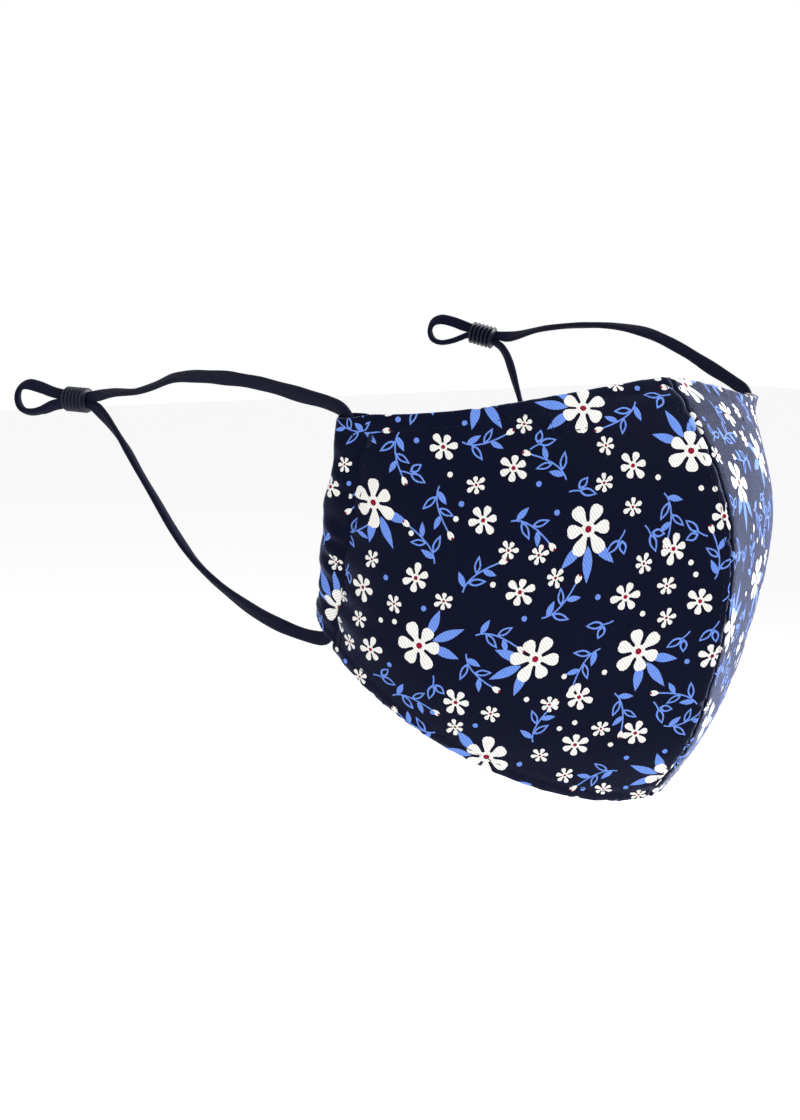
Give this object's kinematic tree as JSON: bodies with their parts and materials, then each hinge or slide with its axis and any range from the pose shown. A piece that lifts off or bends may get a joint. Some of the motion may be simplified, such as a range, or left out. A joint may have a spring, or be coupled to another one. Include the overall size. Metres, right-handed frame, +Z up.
{
  "type": "cloth face mask",
  "caption": "Contoured cotton face mask in its worn shape, with a centre seam, side casings and flat elastic ear loops held by ribbed toggles.",
  "frame": {"origin": "middle of the mask's top edge at the centre seam, where it sits on the bridge of the nose", "axes": "+X towards the wearer's left, +Y towards the face and ears, so -Y is the front, +Z up"},
  "size_m": [0.1842, 0.2511, 0.1356],
  "materials": {
    "printed_cotton": "matt fine twill, navy with a small floral print",
    "ear_elastic": "matt knitted elastic",
    "toggle_silicone": "satin moulded silicone"
  },
  "bodies": {
    "root": {"panel_right": "printed_cotton", "panel_left": "printed_cotton", "side_casing_right": "printed_cotton", "side_casing_left": "printed_cotton", "ear_cord_right": "ear_elastic", "ear_cord_left": "ear_elastic", "cord_toggle_right": "toggle_silicone", "cord_toggle_left": "toggle_silicone"}
  },
  "joints": []
}
